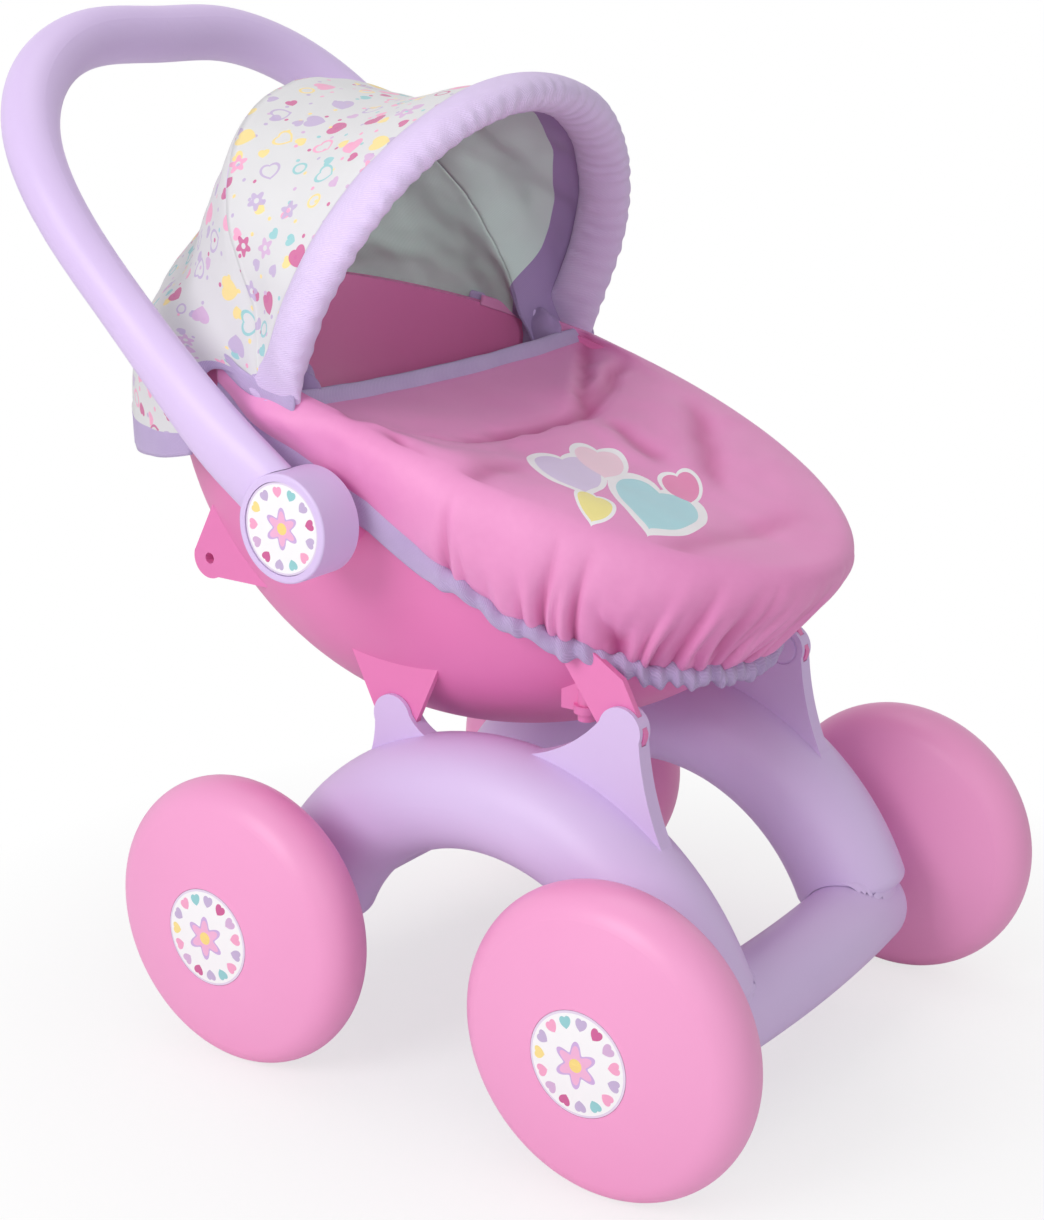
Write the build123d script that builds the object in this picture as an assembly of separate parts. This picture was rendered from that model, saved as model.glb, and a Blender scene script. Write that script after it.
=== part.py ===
from build123d import *
import os
from math import cos, degrees, hypot, radians, sin, sqrt

# Doll stroller. Millimetres, +Z up, floor at z = 0, front towards -Y.
# The origin lies on the floor, midway between the four wheels.
# Left and right are those of the child who pushes: left is +X.

# Wheels and axles
wheel_diameter = 150.0
wheel_width = 55.0
wheel_tread_radius = 18.0
wheel_wall = 2.5
wheel_track = 292.0
wheelbase = 220.0
hub_tube_diameter = 24.0
hub_face_inset = 2.5
retainer_pocket_diameter = 18.0
retainer_pocket_depth = 10.0
badge_seat_depth = 2.2
wheel_badge_diameter = 50.0
axle_diameter = 6.0
axle_tip_margin = 4.0
axle_socket_wall = 5.0
running_clearance = 0.05
washer_diameter = 16.0
washer_thickness = 1.0
retainer_diameter = 15.0
retainer_thickness = 4.0

# Clearances used wherever one piece seats beside another
seat_clearance = 0.3
soft_clearance = 0.4

# Chassis: two side arches joined by two bowed crossbars
arch_spacing = 160.0
arch_radius = 124.0
arch_centre_height = 21.5
arch_tube_diameter = 58.0
arch_half_angle = 69.0
arch_wall = 3.0
arch_end_wall = 8.0
arch_end_rounding = 6.0
axle_boss_diameter = 20.0
front_crossbar_height = 58.0
rear_crossbar_height = 77.0
crossbar_end_offset = 120.0
crossbar_bow = 4.0
crossbar_diameter = 45.0
crossbar_wall = 3.0
crossbar_half_length = 100.0
crossbar_end_rounding = 14.0

# Height of the bowl's deck, from which the places on and around the bowl count theirs
bowl_deck_height = 334.0


def on_deck(y, height):
    """Place (y, z) of a point whose height counts from the bowl's deck."""
    return y, bowl_deck_height + height


# Clevis ears on the arches that hold the bowl's lugs
ear_plate = 2.5
ear_gap = 4.0
ear_tip_radius = 11.5
front_ear_spacing = 156.0
front_ear_tip = on_deck(-71.0, -139.5)
front_ear_feet = (-102.0, -14.0)
rear_ear_spacing = 156.0
rear_ear_tip = on_deck(62.5, -160.0)
rear_ear_feet = (80.0, 38.0)
ear_flank_hollow = 0.06
ear_foot_sink = 6.0
ear_ring_diameter = 18.0
ear_ring_width = 1.2
ear_ring_depth = 0.6
lug_pin_diameter = 8.0
lug_overhang = 1.5
lug_height = 50.0
front_lug_top = (-58.0, -22.0)
rear_lug_top = (100.0, 26.0)

# Bowl: an egg-shaped tub whose rim rises towards the head end
bowl_wall = 3.0
bowl_keel_y = 72.0
bowl_front_reach = 219.0
bowl_rear_reach = 181.0
bowl_half_width = 118.0
bowl_depth = 180.0
bowl_levels = (0.985, 0.94, 0.85, 0.72, 0.55, 0.3, 0.0)
bowl_top_flare = 1.02
bowl_top_rise = 56.0
rim_front = on_deck(-147.0, -79.0)
rim_middle = on_deck(60.0, -4.0)
rim_rear = on_deck(256.0, 40.0)
rim_lip = 2.0
rim_lip_height = 7.0
snap_peg_place = (60.0, -39.0)
snap_peg_length = 147.0
snap_peg_diameter = 9.0
snap_peg_collar = 13.0
snap_peg_collar_height = 4.0
snap_peg_rib = (3.0, 14.0)
tab_eye = on_deck(189.0, -99.0)
tab_radius = 11.0
tab_thickness = 6.0
tab_spacing = 148.0
tab_root_depth = 46.0
tab_eye_diameter = 6.0

# Push handle and its round hubs
hub_axis = on_deck(68.0, -49.0)
hub_boss_diameter = 33.0
hub_boss_face = 129.5
hub_drum_diameter = 52.0
hub_drum_depth = 20.0
hub_web = 14.0
hub_pocket_diameter = 26.0
hub_cap_thickness = 5.0
hub_cap_rim_width = 4.0
hub_badge_recess = 2.0
hub_badge_thickness = 1.2
pivot_diameter = 12.0
pivot_head_diameter = 20.0
pivot_head_thickness = 4.0
pivot_depth_in_boss = 6.0
handle_length = 300.0
handle_lean = 35.0
handle_rise = 50.0
handle_half_width_at_hub = 144.0
handle_half_width = 139.0
handle_corner_radius = 104.0
handle_section_hub = (11.5, 18.0)
handle_section_arm = (12.0, 13.0)
handle_section_bar = (15.0, 15.0)
handle_stations = 8
handle_wall = 3.0

# Canopy hoops, padded sleeve and cover
canopy_axis = on_deck(101.0, 0.0)
front_hoop_half_width = 121.0
front_hoop_height = 154.0
front_hoop_leg = 41.0
front_hoop_corner = 100.0
front_hoop_lean = -23.6
rear_hoop_half_width = 102.0
rear_hoop_height = 156.0
rear_hoop_leg = 66.0
rear_hoop_corner = 76.0
rear_hoop_lean = 27.0
hoop_wire_diameter = 8.0
hoop_eye_diameter = 18.0
hoop_eye_thickness = 5.0
hoop_pin_diameter = 6.0
hoop_pin_margin = 2.0
sleeve_diameter = 22.0
sleeve_start = 25.0
cover_thickness = 2.0
cover_front_growth = 1.0
cover_side_edge = 26.0
cover_valley_lean = 2.0
cover_valley_arch = (118.0, 138.0, 44.0, 74.0)
cover_back_lean = 50.0
cover_back_arch = (113.0, 161.0, 68.0, 80.0)
cover_skirt_lean = 76.0
cover_skirt_edge = 36.0
cover_skirt_arch = (116.0, 162.0, 68.0, 80.0)
cover_hem_lean = 108.0
cover_hem_edge = 50.0
cover_hem_arch = (117.0, 174.0, 76.0, 80.0)

# Apron over the foot end
apron_thickness = 1.4
apron_top_edge_y = 90.0
apron_hem_front = on_deck(-97.0, -131.0)
apron_hem_rear = on_deck(104.0, -6.0)

# Long enough to pass right through the object in any direction
reach = 1000.0

SIDES = (("left", 1), ("right", -1))
ENDS = (("front", -1), ("rear", 1))

arch_x = arch_spacing / 2
wheel_x = wheel_track / 2
axle_y = wheelbase / 2
axle_height = wheel_diameter / 2
hub_face_x = wheel_x - wheel_width / 2 + hub_face_inset
badge_seat_x = wheel_x + wheel_width / 2 - badge_seat_depth
axle_tip_x = badge_seat_x - axle_tip_margin
axle_boss_x = crossbar_half_length + seat_clearance
axle_socket_x = axle_boss_x + axle_socket_wall
hub_drum_outer = hub_boss_face + seat_clearance + hub_drum_depth


def save(name, *shapes):
    """Write one sub-part, as one solid or a group of separate solids."""
    solids = [solid for shape in shapes for solid in shape.solids()]
    part = solids[0] if len(solids) == 1 else Compound(children=solids)
    part.label = name
    export_step(part, f"parts/{name}.step")


def rod_x(centre, radius, start, end):
    """Round rod along X from start to end, about the point (y, z)."""
    plane = Plane((start, centre[0], centre[1]), x_dir=(0, 1, 0), z_dir=(1, 0, 0))
    return extrude(plane * Circle(radius), end - start)


def side_plate(outline, start, end):
    """Extrude a face drawn in (y, z) along X from start to end."""
    return extrude(Plane.YZ.offset(start) * outline, end - start)


def mirrored(shape):
    """The same piece on the right-hand side."""
    return mirror(shape, about=Plane.YZ)


def on_side(shape, sign):
    return shape if sign > 0 else mirrored(shape)


# Wheels

def dome_radius(radius, half_width, tread):
    """Radius of the dome that meets the rounded tread without a step."""
    return (radius**2 + half_width**2 - 2 * radius * tread) / (2 * half_width - 2 * tread)


def wheel_form(radius, half_width, tread):
    """Balloon disc about the X axis at the origin: two domes and a round tread."""
    dome = dome_radius(radius, half_width, tread)
    tread_centre = radius - tread
    turn = hypot(tread_centre, dome - half_width)
    touch_r = tread_centre + tread * tread_centre / turn
    touch_x = tread * (dome - half_width) / turn
    middle_r = touch_r / 2
    middle_x = half_width - dome + sqrt(dome**2 - middle_r**2)
    outline = [
        ThreePointArc((half_width, 0), (middle_x, middle_r), (touch_x, touch_r)),
        ThreePointArc((touch_x, touch_r), (0, radius), (-touch_x, touch_r)),
        ThreePointArc((-touch_x, touch_r), (-middle_x, middle_r), (-half_width, 0)),
        Line((-half_width, 0), (half_width, 0)),
    ]
    return revolve(make_face(outline), Axis.X)


def wheel_body():
    """Hollow blow-moulded wheel with a hub tube, about the X axis, outboard towards +X."""
    outside = wheel_form(wheel_diameter / 2, wheel_width / 2, wheel_tread_radius)
    inside = wheel_form(
        wheel_diameter / 2 - wheel_wall,
        wheel_width / 2 - wheel_wall,
        wheel_tread_radius - wheel_wall,
    )
    seat = badge_seat_x - wheel_x
    face = hub_face_x - wheel_x
    seat_plug = rod_x((0, 0), wheel_badge_diameter / 2 + wheel_wall, seat - wheel_wall, seat)
    face_plug = rod_x((0, 0), hub_tube_diameter / 2, face, face + wheel_wall)
    tube = rod_x((0, 0), hub_tube_diameter / 2, face, seat)
    cavity = inside - seat_plug - face_plug - tube
    cavity -= rod_x((0, 0), wheel_badge_diameter / 2 + wheel_wall, seat - wheel_wall, wheel_width)
    cavity -= rod_x((0, 0), hub_tube_diameter / 2 + wheel_wall, -wheel_width, face + wheel_wall)
    wheel = outside - cavity
    wheel -= rod_x((0, 0), wheel_badge_diameter / 2 + seat_clearance, seat, wheel_width)
    wheel -= rod_x((0, 0), hub_tube_diameter / 2, -wheel_width, face)
    wheel -= rod_x((0, 0), axle_diameter / 2 + running_clearance, -wheel_width, wheel_width)
    wheel -= rod_x((0, 0), retainer_pocket_diameter / 2, seat - retainer_pocket_depth, wheel_width)
    return wheel


def wheel_badge():
    """Round badge that fills the seat and follows the dome of the wheel."""
    outside = wheel_form(wheel_diameter / 2, wheel_width / 2, wheel_tread_radius)
    seat = badge_seat_x - wheel_x
    return outside & rod_x((0, 0), wheel_badge_diameter / 2, seat, wheel_width)


def make_wheels():
    wheel = wheel_body()
    badge = wheel_badge()
    for end_name, end in ENDS:
        for side_name, side in SIDES:
            place = Pos(wheel_x, end * axle_y, axle_height)
            save(f"wheel_{end_name}_{side_name}", on_side(place * wheel, side))
            save(f"wheel_badge_{end_name}_{side_name}", on_side(place * badge, side))


def make_axles():
    stubs = []
    washers = []
    retainers = []
    washer_start = hub_face_x - seat_clearance - washer_thickness
    retainer_start = badge_seat_x - retainer_pocket_depth + seat_clearance
    for _, end in ENDS:
        centre = (end * axle_y, axle_height)
        stub = rod_x(centre, axle_diameter / 2, axle_socket_x + seat_clearance, axle_tip_x)
        eye = rod_x(centre, axle_diameter / 2 + running_clearance, 0, reach)
        washer = rod_x(centre, washer_diameter / 2, washer_start, washer_start + washer_thickness)
        retainer = rod_x(centre, retainer_diameter / 2, retainer_start, retainer_start + retainer_thickness)
        for _, side in SIDES:
            stubs.append(on_side(stub, side))
            washers.append(on_side(washer - eye, side))
            retainers.append(on_side(retainer - eye, side))
    save("axle_stubs", *stubs)
    save("axle_washers", *washers)
    save("axle_retainers", *retainers)


# Chassis

arch_axis = Axis((0, 0, arch_centre_height), (1, 0, 0))


def arch_solid(tube_radius, half_angle):
    """Round tube bent about the arch axis, on the left side."""
    top = Plane((arch_x, 0, arch_centre_height + arch_radius), x_dir=(1, 0, 0), z_dir=(0, 1, 0))
    section = (top * Circle(tube_radius)).face().rotate(arch_axis, -half_angle)
    return revolve(section, arch_axis, 2 * half_angle)


def arch_top(y):
    """Height of the top of the arch tube at a place along the stroller."""
    outer = arch_radius + arch_tube_diameter / 2
    return arch_centre_height + sqrt(outer**2 - y**2)


def ear_outline(tip, feet):
    """Ear in (y, z): hollow flanks, the inner one sweeping out along the arch."""
    tip_y, tip_z = tip
    outer_y, inner_y = feet
    way = 1 if inner_y > outer_y else -1
    outer_foot = (outer_y, arch_top(outer_y) - ear_foot_sink)
    inner_foot = (inner_y, arch_top(inner_y) - ear_foot_sink / 2)
    outer_side = (tip_y - way * ear_tip_radius, tip_z - ear_tip_radius / 3)
    inner_side = (tip_y + way * ear_tip_radius * 0.9, tip_z + ear_tip_radius / 4)
    drop = hypot(outer_side[0] - outer_foot[0], outer_side[1] - outer_foot[1])
    waist_y = (outer_foot[0] + outer_side[0]) / 2 + way * ear_flank_hollow * drop
    waist = (waist_y, (outer_foot[1] + outer_side[1]) / 2)
    flare = ((inner_side[0] + inner_foot[0]) / 2, 0.7 * inner_foot[1] + 0.3 * inner_side[1])
    root_y = (outer_y + inner_y) / 2
    root = (root_y, arch_top(root_y) - arch_tube_diameter / 2)
    outline = [
        ThreePointArc(outer_foot, waist, outer_side),
        ThreePointArc(outer_side, (tip_y, tip_z + ear_tip_radius), inner_side),
        ThreePointArc(inner_side, flare, inner_foot),
        Line(inner_foot, root),
        Line(root, outer_foot),
    ]
    return make_face(outline)


ear_stations = (
    (front_ear_spacing / 2, front_ear_tip, front_ear_feet, front_lug_top),
    (rear_ear_spacing / 2, rear_ear_tip, rear_ear_feet, rear_lug_top),
)
ear_half = ear_gap / 2 + ear_plate


def ear_clevis(ear_x, tip, feet, lug_top):
    """Ear with a slot for the bowl's lug and a blind pin hole across the slot."""
    start = ear_x - ear_half
    end = ear_x + ear_half
    ear = side_plate(ear_outline(tip, feet), start, end)
    slot_face = lug_outline(tip, lug_top, seat_clearance)
    slot = side_plate(slot_face, ear_x - ear_gap / 2, ear_x + ear_gap / 2)
    ring = rod_x(tip, ear_ring_diameter / 2, start, start + ear_ring_depth)
    ring -= rod_x(tip, ear_ring_diameter / 2 - ear_ring_width, 0, reach)
    hole_radius = lug_pin_diameter / 2 + running_clearance
    pin_hole = rod_x(tip, hole_radius, ear_x, end - ear_plate / 2)
    return ear - slot - ring - pin_hole


def crossbar_form(end, grow):
    """Bowed bar across the stroller with rounded ends, its surface moved out by grow."""
    bend = (arch_x**2 + crossbar_bow**2) / (2 * crossbar_bow)
    middle_y = end * (crossbar_end_offset + crossbar_bow)
    height = front_crossbar_height if end < 0 else rear_crossbar_height
    bend_axis = Axis((0, middle_y - end * bend, 0), (0, 0, 1))
    half_turn = degrees((crossbar_half_length + grow) / bend)
    plane = Plane((0, middle_y, height), x_dir=(0, 1, 0), z_dir=(1, 0, 0))
    start = (plane * Circle(crossbar_diameter / 2 + grow)).face().rotate(bend_axis, -half_turn)
    bar = revolve(start, bend_axis, 2 * half_turn)
    return fillet(bar.faces().filter_by(GeomType.PLANE).edges(), crossbar_end_rounding + grow)


def side_arch():
    """Left arch: hollow bent tube with two clevises and two axle bosses."""
    cap_angle = degrees(arch_end_wall / arch_radius)
    hollow = arch_solid(arch_tube_diameter / 2 - arch_wall, arch_half_angle - cap_angle)
    boss_end = hub_face_x - 2 * seat_clearance - washer_thickness
    arch = arch_solid(arch_tube_diameter / 2, arch_half_angle)
    arch = fillet(arch.faces().filter_by(GeomType.PLANE).edges(), arch_end_rounding)
    for station in ear_stations:
        arch += ear_clevis(*station) - hollow
    arch -= bowl_solid(seat_clearance)
    for _, end in ENDS:
        centre = (end * axle_y, axle_height)
        boss = rod_x(centre, axle_boss_diameter / 2, axle_boss_x, boss_end)
        arch += boss
        hollow -= boss
    arch -= hollow
    for _, end in ENDS:
        centre = (end * axle_y, axle_height)
        arch -= rod_x(centre, axle_diameter / 2 + running_clearance, axle_socket_x, reach)
        arch -= crossbar_form(end, seat_clearance)
    return max(arch.solids(), key=lambda solid: solid.volume)


def crossbar(end):
    """Hollow bowed tube that joins the legs, closed at both ends."""
    return crossbar_form(end, 0) - crossbar_form(end, -crossbar_wall)


def make_chassis():
    arch = side_arch()
    for side_name, side in SIDES:
        save(f"side_arch_{side_name}", on_side(arch, side))
    for end_name, end in ENDS:
        save(f"{end_name}_crossbar", crossbar(end))
    pins = []
    pin_inner = ear_gap / 2 - seat_clearance
    pin_outer = ear_half - ear_plate / 2 - seat_clearance
    for ear_x, tip, _, _ in ear_stations:
        pin = rod_x(tip, lug_pin_diameter / 2, ear_x - pin_inner, ear_x + pin_outer)
        for _, side in SIDES:
            pins.append(on_side(pin, side))
    save("bowl_pins", *pins)


# Bowl

def bowl_solid(grow):
    """Solid egg form of the tub, its surface moved out by grow."""
    sections = []
    depth = bowl_depth + grow
    for level in bowl_levels:
        share = sqrt(1 - level**2)
        front = (bowl_front_reach + grow) * share
        rear = (bowl_rear_reach + grow) * share
        half_width = (bowl_half_width + grow) * share
        centre_y = bowl_keel_y + (rear - front) / 2
        plane = Plane((0, centre_y, bowl_deck_height - level * depth))
        sections.append(plane * Ellipse(half_width, (front + rear) / 2))
    front = (bowl_front_reach + grow) * bowl_top_flare
    rear = (bowl_rear_reach + grow) * bowl_top_flare
    plane = Plane((0, bowl_keel_y + (rear - front) / 2, bowl_deck_height + bowl_top_rise))
    half_width = (bowl_half_width + grow) * bowl_top_flare
    sections.append(plane * Ellipse(half_width, (front + rear) / 2))
    return loft(sections)


def below_rim(shift):
    """Everything below the curved rim line, moved up by shift."""
    start = (rim_front[0], rim_front[1] + shift)
    middle = (rim_middle[0], rim_middle[1] + shift)
    end = (rim_rear[0], rim_rear[1] + shift)
    outline = [
        ThreePointArc(start, middle, end),
        Line(end, (reach, end[1])),
        Line((reach, end[1]), (reach, -reach)),
        Line((reach, -reach), (-reach, -reach)),
        Line((-reach, -reach), (-reach, start[1])),
        Line((-reach, start[1]), start),
    ]
    return side_plate(make_face(outline), -reach, reach)


def above_hem(shift):
    """Everything in front of the apron's top edge and above its hem line, moved up by shift."""
    front_y, front_z = apron_hem_front
    rear_y, rear_z = apron_hem_rear
    slope = (rear_z - front_z) / (rear_y - front_y)
    top_z = front_z + slope * (apron_top_edge_y - front_y)
    corners = [
        (apron_top_edge_y, top_z + shift),
        (apron_top_edge_y, reach),
        (-reach, reach),
        (-reach, front_z + shift),
        (front_y, front_z + shift),
    ]
    return side_plate(make_face(Polyline(*corners, close=True)), -reach, reach)


def lug_outline(tip, top, grow=0.0):
    """Lug in (y, z): a rounded foot about the pin, with flanks that run up into the bowl."""
    radius = ear_tip_radius + lug_overhang + grow
    tip_y, tip_z = tip
    outer_y, inner_y = top
    way = 1 if inner_y > outer_y else -1
    outer_foot = (tip_y - way * radius, tip_z)
    inner_foot = (tip_y + way * radius, tip_z)
    outer_top = (outer_y - way * 2 * grow, tip_z + lug_height)
    inner_top = (inner_y + way * 2 * grow, tip_z + lug_height)
    outline = [
        ThreePointArc(outer_foot, (tip_y, tip_z - radius), inner_foot),
        Line(inner_foot, inner_top),
        Line(inner_top, outer_top),
        Line(outer_top, outer_foot),
    ]
    return make_face(outline)


def tab_outline():
    """Rear tab in (y, z): round about its eye, flaring into the bowl wall."""
    eye_y, eye_z = tab_eye
    root_y = eye_y - tab_root_depth
    low = (eye_y - tab_radius / 2, eye_z - tab_radius * 0.866)
    high = (eye_y + tab_radius * 0.966, eye_z + tab_radius * 0.259)
    return make_face(
        [
            ThreePointArc(low, (eye_y + tab_radius * 0.707, eye_z - tab_radius * 0.707), high),
            Line(high, (eye_y - tab_radius / 2, eye_z + 3 * tab_radius)),
            Line((eye_y - tab_radius / 2, eye_z + 3 * tab_radius), (root_y, eye_z + tab_radius)),
            Line((root_y, eye_z + tab_radius), (root_y, low[1])),
            Line((root_y, low[1]), low),
        ]
    )


def snap_peg():
    """Upright peg with a collar and a rib, ahead of the front lug."""
    x, y = snap_peg_place
    plane = Plane((x, y, bowl_deck_height - snap_peg_length))
    collar = plane.offset(snap_peg_collar_height)
    peg = extrude(plane * Circle(snap_peg_diameter / 2), snap_peg_length)
    peg += extrude(collar * Circle(snap_peg_collar / 2), snap_peg_collar_height)
    thickness, depth = snap_peg_rib
    rib = Pos(0, depth / 2, 0) * Rectangle(thickness, depth)
    return peg + extrude(collar * rib, snap_peg_length - snap_peg_collar_height)


def bowl_fittings(inside):
    """What is moulded on the left half of the tub, outside its wall."""
    lug_half = ear_gap / 2 - seat_clearance
    skin = bowl_solid(rim_lip)
    apron_zone = above_hem(-soft_clearance)
    fittings = rod_x(hub_axis, hub_boss_diameter / 2, bowl_half_width / 2, hub_boss_face)
    for ear_x, tip, _, lug_top in ear_stations:
        lug = side_plate(lug_outline(tip, lug_top), ear_x - lug_half, ear_x + lug_half)
        lug -= rod_x(tip, lug_pin_diameter / 2 + running_clearance, 0, reach)
        fittings += lug - (apron_zone - skin)
    fittings += snap_peg() - (apron_zone - skin)
    tab_x = tab_spacing / 2
    tab = side_plate(tab_outline(), tab_x - tab_thickness / 2, tab_x + tab_thickness / 2)
    tab -= rod_x(tab_eye, tab_eye_diameter / 2, 0, reach)
    fittings += tab
    fittings -= arch_solid(arch_tube_diameter / 2 + seat_clearance, arch_half_angle)
    fittings &= below_rim(-rim_lip_height)
    return fittings - inside


def seat_bowl():
    outside = bowl_solid(0)
    inside = bowl_solid(-bowl_wall)
    rim = below_rim(0)
    lip = (bowl_solid(rim_lip) - outside) & rim
    lip -= below_rim(-rim_lip_height)
    bowl = (outside - inside) & rim
    bowl += lip
    fittings = bowl_fittings(inside)
    bowl += fittings
    bowl += mirrored(fittings)
    eye_radius = hoop_pin_diameter / 2 + running_clearance
    bowl -= rod_x(canopy_axis, eye_radius, -reach, reach)
    socket = pivot_diameter / 2 + running_clearance
    socket_start = hub_boss_face - pivot_depth_in_boss
    for sign in (1, -1):
        bowl -= rod_x(hub_axis, socket, sign * socket_start, sign * reach)
    return max(bowl.solids(), key=lambda solid: solid.volume)


def apron_cover():
    """Cloth over the foot end: it lies on the rim and hangs down outside the tub."""
    lining = rim_lip + soft_clearance
    outside = bowl_solid(lining + apron_thickness) & below_rim(soft_clearance + apron_thickness)
    inside = bowl_solid(lining) & below_rim(soft_clearance)
    return (outside - inside) & above_hem(0)


# Handle

def handle_point(across, along):
    """Place of a point of the handle: across the stroller, and along the arm from the hub."""
    rise = handle_rise * (along / handle_length) ** 2
    lean = radians(handle_lean)
    y = hub_axis[0] + along * cos(lean) - rise * sin(lean)
    z = hub_axis[1] + along * sin(lean) + rise * cos(lean)
    return Vector(across, y, z)


def handle_route(share):
    """The handle's plan: share 0 at the left hub, 0.5 at the middle of the bar, 1 at the right hub."""
    straight = handle_length - handle_corner_radius
    half_bar = handle_half_width - handle_corner_radius
    quarter = handle_corner_radius * radians(90)
    half = straight + quarter + half_bar
    side = 1 if share <= 0.5 else -1
    run = 2 * half * min(share, 1 - share)
    if run <= straight:
        spread = handle_half_width_at_hub - handle_half_width
        return side * (handle_half_width + spread * (1 - run / straight)), run
    if run <= straight + quarter:
        turn = (run - straight) / handle_corner_radius
        across = half_bar + handle_corner_radius * cos(turn)
        return side * across, straight + handle_corner_radius * sin(turn)
    return side * (half - run), handle_length


def handle_section(along):
    """Half-sizes of the oval section, in the handle's plane and square to it."""
    share = along / handle_length
    if share < 0.5:
        first, second, blend = handle_section_hub, handle_section_arm, share / 0.5
    else:
        first, second, blend = handle_section_arm, handle_section_bar, share / 0.5 - 1
    ease = blend * blend * (3 - 2 * blend)
    return [a + (b - a) * ease for a, b in zip(first, second)]


def handle_tube(shrink, first, last):
    """Oval tube along the handle from one station to another, its surface moved in by shrink."""
    sections = []
    step = 1e-4
    for index in range(first, last + 1):
        share = index / (2 * handle_stations)
        before = handle_point(*handle_route(max(share - step, 0)))
        after = handle_point(*handle_route(min(share + step, 1)))
        across, along = handle_route(share)
        tangent = (after - before).normalized()
        lean = radians(handle_lean) + 2 * handle_rise * along / handle_length**2
        normal = Vector(0, -sin(lean), cos(lean))
        in_plane = normal.cross(tangent)
        plane = Plane(handle_point(across, along), x_dir=in_plane, z_dir=tangent)
        sections.append(plane * Ellipse(*[size - shrink for size in handle_section(along)]))
    return loft(sections)


def push_handle():
    """Hollow handle, solid at both ends where the drums are let in."""
    tube = handle_tube(0, 0, 2 * handle_stations)
    tube -= handle_tube(handle_wall, 1, 2 * handle_stations - 1)
    drum = rod_x(hub_axis, hub_drum_diameter / 2 + seat_clearance, -reach, reach)
    pieces = (tube - drum).solids()
    return max(pieces, key=lambda solid: solid.volume)


def make_hubs():
    drum_start = hub_boss_face + seat_clearance
    web_end = drum_start + hub_web
    drum = rod_x(hub_axis, hub_drum_diameter / 2, drum_start, hub_drum_outer)
    drum -= rod_x(hub_axis, pivot_diameter / 2 + running_clearance, 0, reach)
    drum -= rod_x(hub_axis, hub_pocket_diameter / 2, web_end, reach)
    cap_end = hub_drum_outer + hub_cap_thickness
    badge_start = cap_end - hub_badge_recess
    badge_radius = hub_drum_diameter / 2 - hub_cap_rim_width
    cap = rod_x(hub_axis, hub_drum_diameter / 2, hub_drum_outer, cap_end)
    cap = fillet(cap.edges().filter_by(GeomType.CIRCLE).sort_by(Axis.X)[-1], hub_cap_rim_width / 3)
    cap -= rod_x(hub_axis, badge_radius + seat_clearance, badge_start, reach)
    badge = rod_x(hub_axis, badge_radius, badge_start, badge_start + hub_badge_thickness)
    stem = rod_x(hub_axis, pivot_diameter / 2, hub_boss_face - pivot_depth_in_boss + seat_clearance, web_end)
    head_start = web_end + seat_clearance
    stem += rod_x(hub_axis, pivot_diameter / 2, web_end, head_start)
    pivot = stem + rod_x(hub_axis, pivot_head_diameter / 2, head_start, head_start + pivot_head_thickness)
    for side_name, side in SIDES:
        save(f"hub_drum_{side_name}", on_side(drum, side))
        save(f"hub_cap_{side_name}", on_side(cap, side))
        save(f"hub_badge_{side_name}", on_side(badge, side))
        save(f"hub_pivot_{side_name}", on_side(pivot, side))


# Canopy

def hoop_plane(lean, shift=0.0):
    """Plane of a hoop: local x across, local y up the hoop from the canopy axis."""
    up = Vector(0, sin(radians(lean)), cos(radians(lean)))
    back = Vector(0, cos(radians(lean)), -sin(radians(lean)))
    origin = Vector(0, *canopy_axis) + back * shift
    return Plane(origin, x_dir=(1, 0, 0), z_dir=Vector(1, 0, 0).cross(up))


def arch_corners(half_width, height, leg, corner):
    """Touching points of a three-arc arch: leg end, corner end, and middles of its arcs."""
    span = half_width - corner
    rise = height - leg
    crown = (span**2 + rise**2 - corner**2) / (2 * (rise - corner))
    crown_y = height - crown
    turn = hypot(span, leg - crown_y)
    touch = (span + corner * span / turn, leg + corner * (leg - crown_y) / turn)
    middle = Vector(touch[0] - span, touch[1] - leg) + Vector(corner, 0)
    middle = middle.normalized() * corner
    return touch, (span + middle.X, leg + middle.Y)


def arch_edges(half_width, height, leg, corner, start):
    """Edges of an arch from its right foot to its left one."""
    touch, middle = arch_corners(half_width, height, leg, corner)
    return [
        Line((-half_width, start), (-half_width, leg)),
        ThreePointArc((-half_width, leg), (-middle[0], middle[1]), (-touch[0], touch[1])),
        ThreePointArc((-touch[0], touch[1]), (0, height), touch),
        ThreePointArc(touch, middle, (half_width, leg)),
        Line((half_width, leg), (half_width, start)),
    ]


front_hoop_arch = (front_hoop_half_width, front_hoop_height, front_hoop_leg, front_hoop_corner)
rear_hoop_arch = (rear_hoop_half_width, rear_hoop_height, rear_hoop_leg, rear_hoop_corner)


def hoop_tube(arch, lean, start, outer, inner=0.0):
    """Round rod or sleeve along a hoop's arch."""
    plane = hoop_plane(lean)
    half_width = arch[0]
    path = Wire([plane * edge for edge in arch_edges(*arch, start)])
    foot = plane.from_local_coords(Vector(-half_width, start, 0))
    section_plane = Plane(foot, x_dir=(1, 0, 0), z_dir=plane.y_dir)
    section = Circle(outer) - Circle(inner) if inner else Circle(outer)
    return sweep(section_plane * section, path)


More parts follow.
